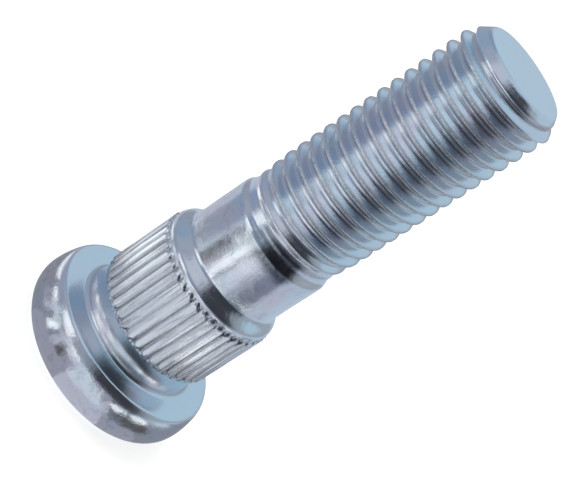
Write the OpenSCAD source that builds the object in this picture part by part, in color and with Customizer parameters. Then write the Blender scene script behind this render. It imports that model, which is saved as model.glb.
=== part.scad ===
// Press-in wheel stud, in millimetres.
// It stands on the outer face of its head, with the axis on Z and the threaded tip at the top.

/* [Head] */
// Largest diameter of the head
head_d = 20.4; // [19.6:0.1:26]
// Height of the head, from its outer face to the seat
head_h = 5.8; // [4.2:0.1:8]
// Diameter of the flat on the head's outer face
head_flat_d = 14; // [10:0.1:17.5]
// Height at which the head is widest
head_belly_h = 2.9; // [1.5:0.1:3.6]
// Outer diameter of the flat seat under the head
seat_d = 19.1; // [17.9:0.1:19.4]
// How far the rim curves over before it meets the seat, in degrees
rim_turn = 66; // [50:1:90]

/* [Neck] */
// Length of the relieved neck, from the seat to the knurl
neck_len = 2.6; // [1.6:0.1:4]
// Radius of the fillet between the seat and the neck
neck_fillet = 0.5; // [0.2:0.1:1]
// Depth of the neck's shallow hollow
neck_hollow = 0.2; // [0.05:0.05:0.3]

/* [Knurl] */
// Diameter of the plain blank that the knurl is rolled into
blank_d = 13.9; // [13.4:0.1:14.1]
// How far the ridges stand out of the blank
ridge_h = 0.2; // [0.15:0.05:0.4]
// Length of the knurl
knurl_len = 8.1; // [5:0.1:14]
// Number of ridges
ridges = 40; // [24:1:48]
// Depth of the grooves, from the top of the ridges
groove_depth = 0.35; // [0.3:0.05:0.6]
// Width of a groove at the top of the ridges
groove_w = 0.36; // [0.3:0.02:0.5]
// Length of the bevel at each end of the ridges
ridge_bevel = 0.55; // [0.3:0.05:1]

/* [Shank] */
// Length of the plain band between the knurl and the shoulder
band_len = 0.3; // [0.2:0.1:3]
// Length of the sloping shoulder, from the band to the shank
shoulder_len = 1.6; // [1.4:0.1:4]
// Diameter of the smooth shank
shank_d = 12; // [11.6:0.1:12.4]
// Length of the smooth shank
shank_len = 5.6; // [3:0.1:20]
// Length of the slope from the shank to the bare rod that the thread is rolled on
step_len = 1; // [0.6:0.1:2]

/* [Thread] */
// Outside diameter of the thread
thread_d = 11.85; // [11.5:0.05:12.4]
// Pitch of the thread
pitch = 1.5; // [1.25:0.05:1.75]
// Diameter of the bare rod that the thread is rolled on
rod_d = 11.3; // [10.9:0.1:11.4]
// Length of bare rod that shows before the thread starts
bare_len = 0.7; // [0.3:0.1:2]
// Length of the thread, from the bare rod to the flat end
thread_len = 25.2; // [12:0.1:60]
// Number of turns over which the thread rises to its full height
run_in = 2.25; // [0.5:0.25:2.5]
// Diameter of the flat end
tip_d = 9.3; // [8:0.1:9.8]
// Length of the chamfer at the tip
tip_len = 1.8; // [0.8:0.1:2.5]

/* [Hidden] */
arc_steps = 8;
turn_steps = 36;
plating = "lightsteelblue";
// How deep the thread's first turn starts below the surface of the bare rod, and how long it stays there
bury = 0.05;
quiet_turn = 0.25;

// Diameter over the ridges
knurl_d = blank_d + 2 * ridge_h;

// Heights of the seats and shoulders, from the outer face of the head up
knurl_z = head_h + neck_len;
band_z = knurl_z + knurl_len;
shoulder_z = band_z + band_len;
shank_z = shoulder_z + shoulder_len;
step_z = shank_z + shank_len;
rod_z = step_z + step_len;
thread_z = rod_z + bare_len;
tip_z = thread_z + thread_len;

// A 60 degree thread, cut off by an eighth of the pitch outside and a quarter inside
thread_depth = pitch * cos(30) * 5 / 8;
crest_w = pitch / 8;
root_w = pitch / 4;
root_r = thread_d / 2 - thread_depth;
// The ridge is drawn a little too high, and a true cylinder then trims it to the outside diameter
trim = pitch / 25;
ridge_r = thread_d / 2 + trim;
ridge_w = crest_w - 2 * trim * tan(30);
flank_w = (pitch - ridge_w - root_w) / 2;

// Points of an elliptical arc about (x, z), from the first angle to the last
function arc(x, z, rx, rz, from, to) =
    [for (i = [0 : arc_steps]) let (a = from + (to - from) * i / arc_steps) [x + rx * cos(a), z + rz * sin(a)]];

// Points of a smooth S curve from (r0, z0) to (r1, z1), upright at both ends
function ease(r0, z0, r1, z1) =
    [for (i = [0 : 2 * arc_steps]) let (t = i / (2 * arc_steps))
        [r0 + (r1 - r0) * (1 - cos(180 * t)) / 2, z0 + (z1 - z0) * t]];

// Points of a shallow hollow of radius r between two heights
function hollow(r, z0, z1, depth) =
    [for (i = [1 : arc_steps - 1]) let (t = i / arc_steps) [r - depth * sin(180 * t), z0 + (z1 - z0) * t]];

// Forged head with a rounded rim that ends at a crisp edge, and the relieved neck on its seat
module head() {
    neck_z = head_h + neck_fillet;
    rim_rx = (head_d - seat_d) / 2 / (1 - cos(rim_turn));
    rim_rz = (head_h - head_belly_h) / sin(rim_turn);
    rotate_extrude($fn = 96)
        polygon(concat(
            [[0, 0]],
            arc(head_flat_d / 2, head_belly_h, (head_d - head_flat_d) / 2, head_belly_h, -90, 0),
            arc(head_d / 2 - rim_rx, head_belly_h, rim_rx, rim_rz, 0, rim_turn),
            arc(blank_d / 2 + neck_fillet, neck_z, neck_fillet, neck_fillet, 270, 180),
            hollow(blank_d / 2, neck_z, knurl_z, neck_hollow),
            [[blank_d / 2, knurl_z], [0, knurl_z]]));
}

// Straight knurl: a turned cylinder, bevelled at both ends, with a V groove cut between neighbouring ridges
module knurl() {
    r = knurl_d / 2;
    half_angle = asin(groove_w / knurl_d);
    outer_r = r * cos(half_angle) + groove_depth;
    difference() {
        rotate_extrude($fn = 96)
            polygon([
                [0, knurl_z], [blank_d / 2, knurl_z], [r, knurl_z + ridge_bevel],
                [r, band_z - ridge_bevel], [blank_d / 2, band_z], [0, band_z]]);
        translate([0, 0, knurl_z - groove_depth])
            linear_extrude(height = knurl_len + 2 * groove_depth)
                for (i = [0 : ridges - 1])
                    rotate(360 * i / ridges)
                        polygon([[r - groove_depth, 0], [outer_r, -groove_w], [outer_r, groove_w]]);
    }
}

// Band, shoulder, smooth shank and the bare rod that the thread grows from
module shank() {
    rotate_extrude($fn = 96)
        polygon(concat(
            [[0, band_z], [blank_d / 2, band_z]],
            ease(blank_d / 2, shoulder_z, shank_d / 2, shank_z),
            ease(shank_d / 2, step_z, rod_d / 2, rod_z),
            [[rod_d / 2, thread_z], [root_r - root_w, thread_z + pitch / 2], [0, thread_z + pitch / 2]]));
}

// Rolled right-hand thread: rows of root and crest points wound round the rod, closed at both ends.
// Over the first turns the crests rise out of the rod and the roots sink into it.
module thread() {
    turns = ceil(thread_len / pitch) + 2;
    start_z = thread_z - pitch;
    last = (turns - 1) * turn_steps;
    inner_r = rod_d / 2 - bury;
    offsets = [0, root_w, root_w + flank_w, root_w + flank_w + ridge_w];
    grow = function (i) min(1, max(0, (i / turn_steps - quiet_turn) / run_in));
    radius = function (i, j) inner_r + ((j < 2 ? root_r : ridge_r) - inner_r) * grow(i);
    points = [for (i = [0 : turns * turn_steps]) let (a = 360 * i / turn_steps) for (j = [0 : 3])
        [radius(i, j) * cos(a), radius(i, j) * sin(a), start_z + pitch * i / turn_steps + offsets[j]]];
    // The row after the last of a turn is the first row of the next turn
    at = function (i, j) j < 4 ? 4 * i + j : 4 * (i + turn_steps);
    low = len(points);
    high = low + 1;
    sides = [for (i = [0 : last - 1]) for (j = [0 : 3])
        each [[at(i, j), at(i + 1, j + 1), at(i + 1, j)], [at(i, j), at(i, j + 1), at(i + 1, j + 1)]]];
    bottom = concat(
        [for (i = [0 : turn_steps - 1]) [low, at(i, 0), at(i + 1, 0)]],
        [for (j = [0 : 3]) [low, at(0, j + 1), at(0, j)]]);
    top = concat(
        [for (i = [last : last + turn_steps - 1]) [high, at(i + 1, 0), at(i, 0)]],
        [for (j = [0 : 3]) [high, at(last, j), at(last, j + 1)]]);
    intersection() {
        polyhedron(
            points = concat(points, [[0, 0, start_z], [0, 0, start_z + pitch * turns]]),
            faces = concat(sides, bottom, top));
        rotate_extrude($fn = 96)
            polygon([
                [0, start_z - pitch], [thread_d / 2, start_z - pitch], [thread_d / 2, tip_z - tip_len],
                [tip_d / 2, tip_z], [0, tip_z]]);
    }
}

module wheel_stud() {
    color(plating) {
        head();
        knurl();
        shank();
        thread();
    }
}

wheel_stud();
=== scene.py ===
import math

import bpy
import numpy as np
from mathutils import Matrix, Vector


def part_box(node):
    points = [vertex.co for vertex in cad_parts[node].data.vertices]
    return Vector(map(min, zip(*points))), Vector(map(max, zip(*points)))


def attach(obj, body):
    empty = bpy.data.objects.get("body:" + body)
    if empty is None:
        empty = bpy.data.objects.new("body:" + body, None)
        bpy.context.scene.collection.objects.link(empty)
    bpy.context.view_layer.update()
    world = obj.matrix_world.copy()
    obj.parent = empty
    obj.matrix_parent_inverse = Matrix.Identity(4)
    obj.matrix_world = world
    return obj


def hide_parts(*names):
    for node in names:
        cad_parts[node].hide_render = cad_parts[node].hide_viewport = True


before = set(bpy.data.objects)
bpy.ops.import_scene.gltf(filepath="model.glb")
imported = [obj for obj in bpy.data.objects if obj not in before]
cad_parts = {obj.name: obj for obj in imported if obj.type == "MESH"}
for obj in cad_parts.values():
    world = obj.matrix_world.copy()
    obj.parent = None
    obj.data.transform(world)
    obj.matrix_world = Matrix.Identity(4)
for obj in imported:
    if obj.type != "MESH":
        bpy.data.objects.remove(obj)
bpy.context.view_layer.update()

mm = 0.001
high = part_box("wheel_stud")[1]
print("frame loaded, stud is", round(high.z / mm, 2), "mm tall")

# Sizes of the stud, with heights counted from the outer face of the head
stud = {
    "headR": high.x,
    "headFlatR": 7 * mm,
    "bellyZ": 2.9 * mm,
    "seatZ": 5.8 * mm,
    "seatR": 9.55 * mm,
    "rimTurn": 66,  # degrees that the rim curves over before it meets the seat
    "neckFillet": 0.5 * mm,
    "neckHollow": 0.2 * mm,
    "blankR": 6.95 * mm,
    "knurlR": 7.15 * mm,
    "knurlZ": 8.4 * mm,
    "knurlTopZ": 16.5 * mm,
    "ridges": 40,
    "grooveDepth": 0.3 * mm,
    "grooveHalf": 0.13,  # half of a groove, as a share of a ridge
    "ridgeBevel": 0.55 * mm,
    "ridgeCrown": 0.045 * mm,
    "ridgeTilt": 0.05 * mm,
    "ridgeLevel": 0.01 * mm,
    "ridgeUneven": 0.12,
    "ridgeRipple": 0.008 * mm,
    "rippleLength": 0.55 * mm,
    "shoulderZ": 16.8 * mm,
    "shankZ": 18.4 * mm,
    "shankR": 6 * mm,
    "stepZ": 24 * mm,
    "rodZ": 25 * mm,
    "rodR": 5.65 * mm,
    "threadZ": 25.7 * mm,
    "threadR": 5.925 * mm,
    "pitch": 1.5 * mm,
    "runIn": 2.25,  # turns over which the thread rises
    "quietTurns": 0.6,
    "crestSeam": 0.05 * mm,
    "crestMarks": 0.006 * mm,
    "rootSoft": 0.03,  # rounding, as a share of the flank
    "crestSoft": 0.08,
    "tipZ": high.z,
    "tipR": 4.65 * mm,
    "chamfer": 1.8 * mm,
    "edgeSoft": 0.05 * mm,
    "rimLumps": 0.03 * mm,
    "shankLumps": 0.012 * mm,
    "seed": 11,
}

# The dark stain at the top of the shank: where it fades in and out, by height and by share of a turn
stain = {
    "lowFade": (22.9 * mm, 23.6 * mm),
    "highFade": (26 * mm, 25.3 * mm),
    "firstFade": (0.755, 0.775),
    "fullFade": (0.8, 0.82),
    "lastFade": (0.93, 0.91),
    "thinShare": 0.4,
    "ragged": 0.6 * mm,
    "raggedTurn": 0.008,
}

# Places of the columns within one ridge, and of the rows within one pitch from the middle of the root
columnShares = np.array([0, 0.13, 0.3, 0.5, 0.7, 0.87])
rowShares = np.array([0, 0.06, 0.115, 0.16, 0.34, 0.4, 0.455, 0.5, 0.545, 0.6, 0.66, 0.84, 0.885, 0.94])


def smooth(x, start, end):
    # 0 before the start, 1 after the end and 3x^2 - 2x^3 between them
    x = np.clip((x - start) / (end - start), 0, 1)
    return x * x * (3 - 2 * x)


def arc(r, z, rx, rz, start, end, count):
    # points (r + rx cos a, z + rz sin a) for an angle a that runs from start to end
    a = np.radians(np.linspace(start, end, count))
    return np.column_stack([r + rx * np.cos(a), z + rz * np.sin(a)])


def line(r0, z0, r1, z1, count):
    # points evenly spread from one end to the other
    return np.column_stack([np.linspace(r0, r1, count), np.linspace(z0, z1, count)])


def ease(r0, z0, r1, z1, count):
    # an S curve: the height runs evenly while the radius follows half a cosine wave
    t = np.linspace(0, 1, count)
    return np.column_stack([r0 + (r1 - r0) * (1 - np.cos(np.pi * t)) / 2, z0 + (z1 - z0) * t])


def turnedRings(s):
    # rings of the turned part as rows of (radius, height), from the middle of the outer face to the rod
    edge = s["edgeSoft"]
    rimRx = (s["headR"] - s["seatR"]) / (1 - math.cos(math.radians(s["rimTurn"])))
    rimRz = (s["seatZ"] - s["bellyZ"]) / math.sin(math.radians(s["rimTurn"]))
    foot = s["blankR"] + s["neckFillet"]
    neckZ = s["seatZ"] + s["neckFillet"]
    neckSteps = np.linspace(0.05, 0.96, 13)
    neck = np.column_stack([
        s["blankR"] - s["neckHollow"] * np.sin(np.pi * neckSteps), neckZ + (s["knurlZ"] - neckZ) * neckSteps])
    bevel = s["ridgeBevel"]
    return np.vstack([
        line(0, 0, s["headFlatR"] - 2 * edge, 0, 6),
        arc(s["headFlatR"], s["bellyZ"], s["headR"] - s["headFlatR"], s["bellyZ"], -88, -4, 16),
        arc(s["headR"] - rimRx, s["bellyZ"], rimRx, rimRz, 0, s["rimTurn"] - 3, 12),
        [[s["seatR"] + 0.2 * edge, s["seatZ"] - edge], [s["seatR"] - edge, s["seatZ"]]],
        line(s["seatR"] - 4 * edge, s["seatZ"], foot + 2 * edge, s["seatZ"], 3),
        arc(foot, neckZ, s["neckFillet"], s["neckFillet"], 268, 184, 11),
        neck,
        line(s["blankR"], s["knurlZ"], s["blankR"], s["knurlZ"] + bevel * 1.4, 9),
        line(s["blankR"], s["knurlZ"] + bevel * 2, s["blankR"], s["knurlTopZ"] - bevel * 2, 13),
        line(s["blankR"], s["knurlTopZ"] - bevel * 1.4, s["blankR"], s["knurlTopZ"], 9),
        line(s["blankR"], s["knurlTopZ"] + edge, s["blankR"], s["shoulderZ"] - edge, 3),
        ease(s["blankR"], s["shoulderZ"], s["shankR"], s["shankZ"], 15),
        line(s["shankR"], s["shankZ"] + 5 * edge, s["shankR"], s["stepZ"] - 4 * edge, 15),
        ease(s["shankR"], s["stepZ"], s["rodR"], s["rodZ"], 10)[:-1]])


def ridgeHeight(s, ridgeShare, ridgeNumber, z, rng):
    # how far the knurl stands out of its blank: V grooves part the ridges, each ridge ends in a point, and
    # its top is a parabola from groove to groove, tilted and rippled a little
    lift = s["knurlR"] - s["blankR"]
    off = np.minimum(ridgeShare, 1 - ridgeShare)
    uneven = rng.uniform(-1, 1, s["ridges"])[ridgeNumber]
    wobble = rng.uniform(0, 2 * np.pi, s["ridges"])[ridgeNumber]
    width = s["grooveHalf"] * (1 + s["ridgeUneven"] * uneven)
    groove = s["grooveDepth"] * np.clip(1 - off / width, 0, 1)
    fromEnd = np.minimum(z - s["knurlZ"], s["knurlTopZ"] - z)
    pointed = fromEnd - s["ridgeBevel"] * (0.9 * (0.5 - off) * 2 + s["ridgeUneven"] * uneven)
    rise = np.clip(pointed / (0.35 * s["ridgeBevel"]), 0, 1)
    runOut = smooth(fromEnd, 0.2 * s["ridgeBevel"], s["ridgeBevel"])
    crown = -s["ridgeCrown"] * (1 - np.clip((off - width) / (0.5 - width), 0, 1)) ** 2
    ripple = s["ridgeRipple"] * np.sin(z / s["rippleLength"] + wobble)
    tilt = s["ridgeTilt"] * np.cos(wobble) * (ridgeShare - 0.5)
    top = lift + (crown + ripple + tilt + s["ridgeLevel"] * uneven) * (off > width)
    return top * rise - groove * np.maximum(rise, runOut) * runOut


def unevenness(turn, z, rng):
    # forging lumps: a sum of cosines, each with a whole number of waves round the axis, a slant of its own
    # and a height of 1 over the root of the number of waves, brought to about -1 to 1
    steepest = 2.2 / mm
    highest = 2.2
    total = np.zeros(np.broadcast(turn, z).shape)
    for waves in (3, 5, 7, 9, 12, 15, 19, 24):
        slant = rng.uniform(-1, 1) * steepest
        phase = rng.uniform(0, 2 * np.pi)
        total = total + np.cos(2 * np.pi * waves * turn + slant * z + phase) / np.sqrt(waves)
    return total / highest


def firstRootZ(s):
    # the helix starts one pitch below the thread, and the middle of its root an eighth of a pitch above that
    return s["threadZ"] - s["pitch"] * 0.875


def threadProfile(s, turn, z):
    # share of the thread's depth, 0 in the root and 1 on the crest: a straight flank, five sixteenths of a
    # pitch wide, that starts an eighth from the root's middle; two square roots round it off at both ends
    away = (z - firstRootZ(s)) / s["pitch"] - turn
    away = np.abs((away + 0.5) % 1 - 0.5)
    ramp = (away - 0.125) / 0.3125
    nearRoot = np.sqrt(ramp ** 2 + s["rootSoft"] ** 2)
    nearCrest = np.sqrt((ramp - 1) ** 2 + s["crestSoft"] ** 2)
    return (nearRoot - nearCrest + 1) / 2


def stainShare(s, turn, z, lumps):
    # a patch that fades in and out by height and round the axis, in two steps at its first side, with edges
    # that the lumps make ragged
    patch = smooth(z + s["ragged"] * lumps, *s["lowFade"]) * smooth(z, *s["highFade"])
    around = turn + s["raggedTurn"] * lumps
    thin = s["thinShare"] * smooth(around, *s["firstFade"])
    full = (1 - s["thinShare"]) * smooth(around, *s["fullFade"])
    return patch * (thin + full) * smooth(around, *s["lastFade"])


def studSkin(s):
    # one closed spiral sheet: a point of row k lies at ring number k + rows * turn, so the end of a row meets
    # the start of the row one pitch above; away from the thread the number is rounded, which makes true rings
    rng = np.random.default_rng(s["seed"])
    rows = len(rowShares)
    dz = s["pitch"] / rows
    turned = turnedRings(s)
    threadRows = int((s["tipZ"] - s["rodZ"]) / dz)
    first = len(turned)
    end = first + threadRows
    z0 = s["tipZ"] - threadRows * dz
    bareRod = np.column_stack([np.full(threadRows + 1, s["rodR"]), z0 + dz * np.arange(threadRows + 1)])
    face = line(s["tipR"] - 4 * s["edgeSoft"], s["tipZ"], 0, s["tipZ"], 5)
    rings = np.vstack([turned, bareRod, face])
    last = len(rings) - 1

    ridge = np.repeat(np.arange(s["ridges"]), len(columnShares))
    share = np.tile(columnShares, s["ridges"])
    turn = ((ridge + share) / s["ridges"])[None, :]
    k = np.arange(-rows, last + rows + 1)[:, None]
    u = k + rows * turn
    ring = np.clip(np.floor(u + 0.5), 0, last).astype(int)
    r, z = rings[ring, 0], rings[ring, 1]

    # thread: rows slide to their places in the profile and follow the helix, out of the bare rod over the
    # first turns and down the chamfer's cone at the tip, with small marks and a folded seam on the crest
    inThread = (ring >= first) & (ring <= end)
    natural = ((k - first) * dz + z0 - firstRootZ(s)) / s["pitch"]
    slot = np.floor(natural * rows + 0.5).astype(int)
    target = rowShares[slot % rows] + slot // rows
    helical = smooth(u, first + 2, first + 12) * smooth(end - u, 2, 7)
    straight = z0 + (u - first) * dz
    wound = straight + helical * (target - natural) * s["pitch"] + (1 - helical) * (ring - u) * dz
    z = np.where(inThread, wound, z)
    profile = threadProfile(s, turn, z)
    depth = s["pitch"] * math.cos(math.radians(30)) * 5 / 8  # of a 60 degree thread
    grow = ((z - s["threadZ"]) / s["pitch"] + 1 - s["quietTurns"]) / s["runIn"]
    grow = np.clip(grow, 0, 1)
    wall = s["rodR"] + (s["threadR"] - depth * (1 - profile) - s["rodR"]) * grow
    cone = s["tipR"] + (s["tipZ"] - z) * (s["threadR"] - s["tipR"]) / s["chamfer"]
    cone = cone - 1.4 * s["edgeSoft"] * smooth(z, s["tipZ"] - 1.5 * dz, s["tipZ"])
    rough = rng.normal(0, 1, (rings.shape[0], turn.shape[1]))[ring, np.arange(turn.shape[1])[None, :]]
    below = smooth(cone - wall, 0, s["edgeSoft"])
    seam = s["crestSeam"] * smooth(profile, 0.984, 0.992) * grow
    marks = s["crestMarks"] * rough * smooth(profile, 0.8, 1) - seam
    r = np.where(inThread, np.minimum(wall, cone) + marks * below, r)

    # knurl: ridges stand out of the blank
    inKnurl = (z >= s["knurlZ"]) & (z <= s["knurlTopZ"] + 0.01 * mm)
    r = r + np.where(inKnurl, ridgeHeight(s, share[None, :], ridge[None, :], z, rng), 0)

    # lumps on the rim, the shoulder and the shank, none on the faces that seat
    lumps = unevenness(turn, z, rng)
    onRim = smooth(z, 0.1 * mm, 1.2 * mm) * smooth(z, s["seatZ"] - 0.1 * mm, s["seatZ"] - 1.2 * mm)
    onShank = smooth(z, s["shoulderZ"] - 0.5 * mm, s["shankZ"]) * smooth(z, s["rodZ"] + 0.4 * mm, s["stepZ"])
    r = r + s["rimLumps"] * (lumps - 1) * onRim + s["shankLumps"] * lumps * onShank

    # zones: red for crests, green for painted shade in the roots and grooves with the darker bands beside the
    # crests and the stain, blue for ridges, alpha for forged skin
    crest = smooth(profile, 0.89, 0.97) * grow * inThread * below
    beside = smooth(profile, 0.72, 0.86) * (1 - crest) * grow * inThread * below
    root = smooth(profile, 0.1, 0) * grow * inThread
    groove = inKnurl * smooth(np.minimum(share, 1 - share)[None, :] / s["grooveHalf"], 1.5, 0.2)
    groove = groove * rng.uniform(0.6, 1.4, s["ridges"])[ridge][None, :]
    # painted shade: the thread's roots and the knurl's grooves are darkened where shade falls; the bands
    # beside the crests are darkened too, and the stain is added on top
    shadeAndGrime = np.maximum(0.4 * root, 0.5 * beside)
    shadeAndGrime = np.maximum(shadeAndGrime, 2 * stainShare(stain, turn, z, lumps))
    shadeAndGrime = np.maximum(shadeAndGrime, 1.5 * groove)
    ridgeTop = inKnurl * np.clip(1 - groove, 0, 1)
    forged = np.maximum(onRim, 0.5 * onShank)
    zones = np.stack([crest, shadeAndGrime, ridgeTop, forged], -1)

    # points (r cos a, r sin a, z), with one point at each pole and no faces of no size
    angle = 2 * np.pi * turn
    points = np.stack([r * np.cos(angle), r * np.sin(angle), z], -1)
    ids = np.arange(u.size).reshape(u.shape)
    ids[ring == 0] = ids[0, 0]
    ids[ring == last] = ids[-1, -1]
    ids = np.column_stack([ids[:last + rows + 1], ids[rows:, 0]])
    a, b, c, d = ids[:-1, :-1], ids[:-1, 1:], ids[1:, :-1], ids[1:, 1:]
    faces = np.concatenate([np.stack([a, b, c], -1).reshape(-1, 3), np.stack([b, d, c], -1).reshape(-1, 3)])
    whole = (faces[:, 0] != faces[:, 1]) & (faces[:, 1] != faces[:, 2]) & (faces[:, 2] != faces[:, 0])
    used, faces = np.unique(faces[whole], return_inverse=True)
    faces = faces.reshape(-1, 3)
    return points.reshape(-1, 3)[used], faces, zones.reshape(-1, 4)[used]


def meshPiece(name, points, faces, zones=None):
    mesh = bpy.data.meshes.new(name)
    mesh.from_pydata(points.tolist(), [], faces.tolist())
    mesh.polygons.foreach_set("use_smooth", np.ones(len(faces), bool))
    if zones is not None:
        layer = mesh.color_attributes.new("zones", "FLOAT_COLOR", "POINT")
        layer.data.foreach_set("color", zones.ravel().astype(np.float32))
    mesh.validate()
    piece = bpy.data.objects.new(name, mesh)
    bpy.context.scene.collection.objects.link(piece)
    return piece


class Wire:
    # an output socket: sums and products on it add Math nodes, and node() adds any other kind
    def __init__(self, tree, socket=None):
        self.tree, self.socket = tree, socket

    def node(self, kind, settings=None, inputs=None, output=None):
        made = self.tree.nodes.new(kind)
        for name, value in (settings or {}).items():
            setattr(made, name, value)
        for name, value in (inputs or {}).items():
            socket = next(i for i in made.inputs if name in (i.identifier, i.name))
            if isinstance(value, Wire):
                self.tree.links.new(value.socket, socket)
            else:
                socket.default_value = value
        found = [o for o in made.outputs if output in (None, o.identifier, o.name)]
        return Wire(self.tree, found[0] if found else None)

    def maths(self, operation, first, second):
        return self.node("ShaderNodeMath", {"operation": operation}, {"Value": first, "Value_001": second})

    def __add__(self, other):
        return self.maths("ADD", self, other)

    def __sub__(self, other):
        return self.maths("SUBTRACT", self, other)

    def __rsub__(self, other):
        return self.maths("SUBTRACT", other, self)

    def __mul__(self, other):
        return self.maths("MULTIPLY", self, other)

    __radd__ = __add__
    __rmul__ = __mul__

    def blend(self, one, other):
        # colour one where this wire is 0, the other where it is 1
        return self.node("ShaderNodeMix", {"data_type": "RGBA"},
                         {"Factor_Float": self, "A_Color": one, "B_Color": other}, "Result_Color")

    def between(self, start, end):
        # 0 below the start, 1 above the end
        return self.node("ShaderNodeMapRange", {"interpolation_type": "SMOOTHSTEP"},
                         {"Value": self, "From Min": start, "From Max": end}, "Result")


zinc = {
    "blue": (0.67, 0.76, 0.825, 1),
    "lilac": (0.71, 0.74, 0.805, 1),
    "crest": (0.80, 0.77, 0.77, 1),
    # the dark tone below is painted shade in the roots and grooves, and grime in the streaks, the blotches
    # and on the crests
    "shadeAndGrime": (0.12, 0.13, 0.15, 1),
    "ridge": (0.80, 0.84, 0.88, 1),
    "ridgeShare": 0.8,
    "ridgeGrime": 0.35,
    "forgedGrime": 0.2,
    "crestGrime": 0.45,
    "cloudSize": 4 * mm,
    "lumpSize": 1.3 * mm,
    "blotchSize": 0.8 * mm,
    "speckleSize": 0.5 * mm,
    "streakSize": 0.35 * mm,
    "streakStretch": 9,
    "grainSize": 0.14 * mm,
    "roughness": 0.13,
    "roughnessSpread": 0.12,
    "crestRoughness": 0.2,
    "ridgeRoughness": 0.02,
    "forgedSmoothness": 0.08,
    "grainHeight": 0.01 * mm,
    "lumpHeight": 0.03 * mm,
}


def newTree(name):
    material = bpy.data.materials.new(name)
    material.use_nodes = True
    material.node_tree.nodes.clear()
    return material, Wire(material.node_tree)


def zincMaterial(look):
    # clouds of two tints, then the zones' own tints, grime and painted shade, with noise of several sizes to
    # break them up
    material, start = newTree("zincPlating")
    place = start.node("ShaderNodeTexCoord", output="Object")
    zones = start.node("ShaderNodeAttribute", {"attribute_name": "zones"}, output="Color")
    parts = {name: start.node("ShaderNodeSeparateColor", None, {"Color": zones}, name)
             for name in ("Red", "Green", "Blue")}
    crest, shadeAndGrime, ridge = parts["Red"], parts["Green"], parts["Blue"]
    forged = start.node("ShaderNodeAttribute", {"attribute_name": "zones"}, output="Alpha")

    def noise(size, detail=3, stretch=1):
        # soft random values from 0 to 1, with grains of the given size, drawn out along the axis
        spread = place.node("ShaderNodeMapping", None,
                            {"Vector": place, "Scale": (1 / size, 1 / size, 1 / (size * stretch))})
        return place.node("ShaderNodeTexNoise", None,
                          {"Vector": spread, "Scale": 1, "Detail": detail, "Roughness": 0.55}, "Fac")

    clouds = noise(look["cloudSize"], 2).between(0.38, 0.62)
    blotches = noise(look["blotchSize"], 4).between(0.5, 0.7)
    streaks = noise(look["streakSize"], 4, look["streakStretch"])
    speckle = noise(look["speckleSize"], 5)
    grain = noise(look["grainSize"], 3)
    colour = clouds.blend(look["blue"], look["lilac"])
    colour = (ridge * look["ridgeShare"]).blend(colour, look["ridge"])
    colour = (ridge * streaks.between(0.5, 0.7) * look["ridgeGrime"]).blend(colour, look["shadeAndGrime"])
    colour = (forged * blotches * look["forgedGrime"]).blend(colour, look["shadeAndGrime"])
    colour = (crest * speckle.between(0.3, 0.6)).blend(colour, look["crest"])
    colour = (crest * grain.between(0.48, 0.6) * look["crestGrime"]).blend(colour, look["shadeAndGrime"])
    # painted shade in the roots and grooves, with the darker bands beside the crests and the stain, broken up
    # by speckle
    colour = (shadeAndGrime * (0.2 + 0.4 * speckle)).blend(colour, look["shadeAndGrime"])
    roughness = look["roughness"] + look["roughnessSpread"] * (speckle * 0.6 + streaks * 0.4)
    roughness = roughness + look["crestRoughness"] * crest + look["ridgeRoughness"] * ridge
    roughness = roughness - look["forgedSmoothness"] * forged

    # broad lumps first, then grain on the crests and streaks along the ridges
    broad = noise(look["lumpSize"], 2) * (0.5 + forged)
    lumps = place.node("ShaderNodeBump", None,
                       {"Strength": 1, "Distance": look["lumpHeight"], "Height": broad}, "Normal")
    small = grain * (1 + 2 * crest) + streaks * (1 + 2 * ridge)
    fine = place.node("ShaderNodeBump", None,
                      {"Strength": 1, "Distance": look["grainHeight"], "Height": small, "Normal": lumps},
                      "Normal")
    shader = place.node("ShaderNodeBsdfPrincipled", None,
                        {"Base Color": colour, "Metallic": 1, "Roughness": roughness, "Normal": fine},
                        "BSDF")
    place.node("ShaderNodeOutputMaterial", None, {"Surface": shader})
    return material


points, faces, zones = studSkin(stud)
platedStud = meshPiece("platedStud", points, faces, zones)
platedStud.data.materials.append(zincMaterial(zinc))
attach(platedStud, "root")
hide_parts("wheel_stud")
print("stud skin made,", len(faces), "triangles")

# The camera looks at a point on the axis, from above and rolled so that the axis climbs to the right
view = {
    "azimuth": 293.0,
    "elevation": 23.95,
    "roll": 33.58,
    "distance": 155 * mm,
    "aimZ": 24 * mm,
    "aimRight": -0.483 * mm,
    "aimUp": -0.529 * mm,
    "lens": 106.14,
    "sensor": 36,
}


def standing(x, y, z, place):
    # the matrix of an object with these axes at this place
    return Matrix([[x[i], y[i], z[i], place[i]] for i in range(3)] + [[0, 0, 0, 1]])


def placeCamera(v):
    azimuth, elevation, roll = (math.radians(v[name]) for name in ("azimuth", "elevation", "roll"))
    ahead = -np.array([math.cos(elevation) * math.cos(azimuth),
                       math.cos(elevation) * math.sin(azimuth), math.sin(elevation)])
    side = np.array([-math.sin(azimuth), math.cos(azimuth), 0])
    level = np.cross(side, ahead)
    right = side * math.sin(roll) + level * math.cos(roll)
    up = level * math.sin(roll) - side * math.cos(roll)
    place = np.array([0, 0, v["aimZ"]]) - v["aimRight"] * right + v["aimUp"] * up - v["distance"] * ahead
    data = bpy.data.cameras.new("camera")
    data.lens, data.sensor_width = v["lens"], v["sensor"]
    data.clip_start, data.clip_end = 1 * mm, 10
    camera = bpy.data.objects.new("camera", data)
    camera.matrix_world = standing(right, up, -ahead, place)
    bpy.context.scene.collection.objects.link(camera)
    bpy.context.scene.camera = camera


placeCamera(view)
print("camera placed")

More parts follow.
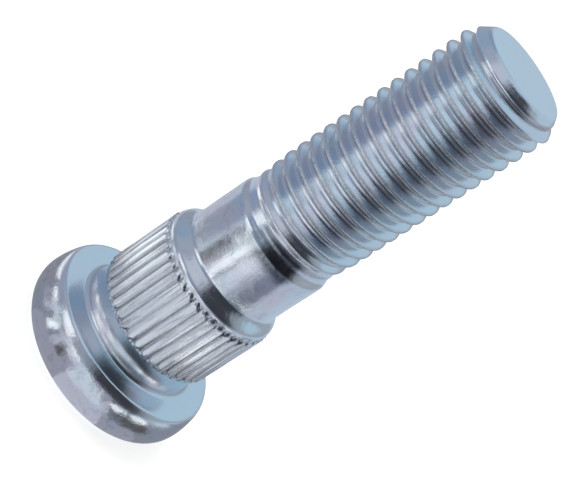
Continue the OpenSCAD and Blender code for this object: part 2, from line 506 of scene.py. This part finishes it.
# Pale floor and sky, with papers round the stud and screens above it that only the plating reflects
studio = {
    "backdrop": (1, 1, 1, 1),
    "sky": (0.66, 0.83, 0.96, 1),
    "skyStrength": 0.8,
    "fill": 0.55,
    "floorR": 4,
    "floorColour": (0.40, 0.40, 0.40, 1),
    "floorGlow": 0.78,
    "paperZ": 0.3 * mm,
    "screenR": 200 * mm,
    "roundSteps": 96,
    "paperSteps": 13,
    "screenSteps": (17, 9),
}

# Tones of the papers, with their brightness
tones = {
    "white": (1, 1, 1, 1.25),
    "sky": (0.85, 0.90, 1, 1),
    "pale": (0.72, 0.76, 0.82, 1),
    "cloud": (0.56, 0.64, 0.74, 1),
    "aqua": (0.45, 0.60, 0.70, 1),
    "steel": (0.29, 0.37, 0.53, 1),
    "mist": (0.58, 0.58, 0.66, 1),
    "lilac": (0.38, 0.38, 0.44, 1),
    "slate": (0.29, 0.30, 0.35, 1),
    "smoke": (0.20, 0.20, 0.24, 1),
    "brown": (0.13, 0.12, 0.12, 1),
    "dark": (0.07, 0.075, 0.09, 1),
}

# Papers lie in rings about the stud: inner and outer radius in mm, then where each tone starts, in degrees
# from the camera's side. The head reflects the first two, the knurl the third, the shank the fourth and
# the thread the others
paperRings = {
    "footRing": (7.2, 15, {-180: "slate", -52: "lilac", -5: "mist", 34: "lilac", 66: "slate"}),
    "rimRing": (15, 24, {
        -180: "slate", -76: "lilac", -62: "mist", -54: "slate", -46: "white", -38: "slate", -31: "mist",
        -25: "brown", -17: "lilac", -5: "pale", 30: "mist", 38: "smoke", 50: "brown", 78: "slate"}),
    "knurlRing": (24, 38, {
        -180: "cloud", -124: "white", -90: "slate", -80: "white", -66: "pale", -40: "mist", -30: "pale",
        -12: "mist", -4: "pale", 14: "mist", 20: "pale", 30: "slate", 38: "white", 55: "slate",
        61: "white", 80: "slate", 88: "pale", 104: "slate", 130: "cloud"}),
    "shankRing": (38, 56, {
        -180: "mist", -112: "lilac", -61: "pale", -54: "brown", -34: "lilac", -21: "white", -7: "slate",
        1: "pale", 20: "mist", 30: "lilac", 42: "smoke", 74: "mist", 106: "cloud"}),
    "flankRing": (56, 74, {
        -180: "cloud", -112: "steel", -54: "sky", -40: "white", 18: "sky", 30: "cloud", 40: "steel",
        70: "aqua"}),
    "threadRing": (74, 130, {
        -180: "cloud", -112: "steel", -58: "white", -40: "sky", 6: "mist", 14: "slate", 22: "dark",
        64: "slate", 84: "cloud"}),
    "farRing": (130, 1500, {
        -180: "lilac", -62: "pale", -34: "slate", 20: "smoke", 70: "slate", 110: "lilac"}),
}

# Each screen: name, first and last angle from the camera's side, lowest and highest elevation, colour
# and brightness
screens = [
    ("leftHorizon", -180, -60, 0, 18, (0.38, 0.39, 0.45), 1),
    ("brightScreen", -60, -32, 0, 20, (1, 1, 1), 1.2),
    ("middleHorizon", -32, -4, 0, 18, (0.36, 0.37, 0.42), 1),
    ("rightHorizon", 82, 180, 0, 18, (0.42, 0.44, 0.48), 1),
    ("darkScreen", 8, 72, 0, 66, (0.05, 0.05, 0.06), 1),
    ("dimScreen", -4, 8, 0, 66, (0.26, 0.27, 0.31), 1),
    ("brownScreen", 72, 82, 0, 66, (0.24, 0.24, 0.26), 1),
    ("smokeScreen", 82, 100, 18, 50, (0.38, 0.41, 0.46), 1),
    ("navyScreen", -60, -4, 20, 34, (0.24, 0.31, 0.43), 1),
    ("greyScreen", -60, -4, 34, 64, (0.62, 0.65, 0.72), 1),
    ("sideScreen", -96, -60, 18, 60, (0.42, 0.45, 0.53), 1),
    ("blueScreen", -150, -96, 18, 62, (0.34, 0.42, 0.54), 1),
]


def seenByEye(start):
    # 1 for the camera, for mirror-like reflections and for light that passes through
    rays = [start.node("ShaderNodeLightPath", output=name)
            for name in ("Is Camera Ray", "Is Glossy Ray", "Is Transmission Ray")]
    return rays[0] + rays[1] + rays[2]


def makeFloor(s):
    # one round face: points (R cos a, R sin a, 0)
    count = s["roundSteps"]
    angle = np.linspace(0, 2 * np.pi, count + 1)[:-1]
    points = np.column_stack([np.cos(angle) * s["floorR"], np.sin(angle) * s["floorR"], np.zeros(count)])
    piece = meshPiece("floor", points, np.arange(count)[None, :])
    material, start = newTree("paleFloor")
    lit = start.node("ShaderNodeBsdfDiffuse", None, {"Color": s["floorColour"]}, "BSDF")
    glow = start.node("ShaderNodeEmission", None,
                      {"Color": s["backdrop"], "Strength": seenByEye(start) * s["floorGlow"]}, "Emission")
    both = start.node("ShaderNodeAddShader", None, {"Shader": lit, "Shader_001": glow}, "Shader")
    start.node("ShaderNodeOutputMaterial", None, {"Surface": both})
    piece.data.materials.append(material)


def makeCard(name, grid, colour, strength):
    # a glowing sheet over a grid of points, which only mirror-like reflections see
    rows, columns = grid.shape[:2]
    ids = np.arange(rows * columns).reshape(rows, columns)
    quads = np.stack([ids[:-1, :-1], ids[1:, :-1], ids[1:, 1:], ids[:-1, 1:]], -1).reshape(-1, 4)
    piece = meshPiece(name, grid.reshape(-1, 3), quads)
    material, start = newTree(name)
    glow = start.node("ShaderNodeEmission", None,
                      {"Color": (*colour, 1), "Strength": strength}, "Emission")
    start.node("ShaderNodeOutputMaterial", None, {"Surface": glow})
    piece.data.materials.append(material)
    piece.visible_camera = piece.visible_diffuse = piece.visible_shadow = False


def makePapers(s, name, inner, outer, starts):
    # flat ring sectors just above the floor, each from its own start to the next: points (R cos a, R sin a)
    steps = s["paperSteps"]
    edges = list(starts) + [180]
    radius = np.array([inner, outer])[None, :] * mm
    flat = np.full((steps, 2), s["paperZ"])
    for first, final in zip(edges[:-1], edges[1:]):
        angle = np.radians(view["azimuth"] + np.linspace(first, final, steps))[:, None]
        *colour, strength = tones[starts[first]]
        grid = np.stack([radius * np.cos(angle), radius * np.sin(angle), flat], -1)
        makeCard(f"{name}{first}", grid, colour, strength)


def makeScreen(s, name, first, final, lowest, highest, colour, strength):
    # a stretch of a sphere: points R (cos e cos a, cos e sin a, sin e)
    across, along = s["screenSteps"]
    angle = np.radians(view["azimuth"] + np.linspace(first, final, across))[:, None]
    lift = np.radians(np.linspace(lowest, highest, along))[None, :]
    flat = s["screenR"] * np.cos(lift)
    up = s["screenR"] * np.sin(lift) + 0 * angle
    makeCard(name, np.stack([flat * np.cos(angle), flat * np.sin(angle), up], -1), colour, strength)


def makeSky(s):
    # white to the camera, blue to mirror-like reflections, and an even fill for all else
    world = bpy.data.worlds.new("sky")
    world.use_nodes = True
    world.node_tree.nodes.clear()
    start = Wire(world.node_tree)
    camera = start.node("ShaderNodeLightPath", output="Is Camera Ray")
    glossy = start.node("ShaderNodeLightPath", output="Is Glossy Ray")

    def background(colour, strength):
        return start.node("ShaderNodeBackground", None, {"Color": colour, "Strength": strength}, "Background")

    def choose(share, one, other):
        return start.node("ShaderNodeMixShader", None,
                          {"Fac": share, "Shader": one, "Shader_001": other}, "Shader")

    soft = background(s["backdrop"], s["fill"])
    mirror = background(s["sky"], s["skyStrength"])
    bright = background(s["backdrop"], 1)
    mixed = choose(camera, choose(glossy, soft, mirror), bright)
    start.node("ShaderNodeOutputWorld", None, {"Surface": mixed})
    bpy.context.scene.world = world


# Each lamp: angle from the camera's side, elevation, distance, size and power
lamps = {
    "topLamp": (-125, 72, 250 * mm, 110 * mm, 0.3),
    "sideLamp": (-60, 35, 350 * mm, 200 * mm, 0.4),
}


def makeLamp(name, azimuth, elevation, distance, size, power):
    # a square lamp on a sphere round the middle of the stud, facing it
    a, e = math.radians(view["azimuth"] + azimuth), math.radians(elevation)
    out = np.array([math.cos(e) * math.cos(a), math.cos(e) * math.sin(a), math.sin(e)])
    side = np.array([-math.sin(a), math.cos(a), 0])
    up = np.cross(out, side)
    place = out * distance + np.array([0, 0, view["aimZ"]])
    data = bpy.data.lights.new(name, "AREA")
    data.size, data.energy = size, power
    lamp = bpy.data.objects.new(name, data)
    lamp.matrix_world = standing(side, up, out, place)
    lamp.visible_glossy = False
    bpy.context.scene.collection.objects.link(lamp)


makeFloor(studio)
makeSky(studio)
for name, ring in paperRings.items():
    makePapers(studio, name, *ring)
for screen in screens:
    makeScreen(studio, *screen)
for name, lamp in lamps.items():
    makeLamp(name, *lamp)
bpy.context.scene.view_settings.view_transform = "Standard"
print("studio lit")
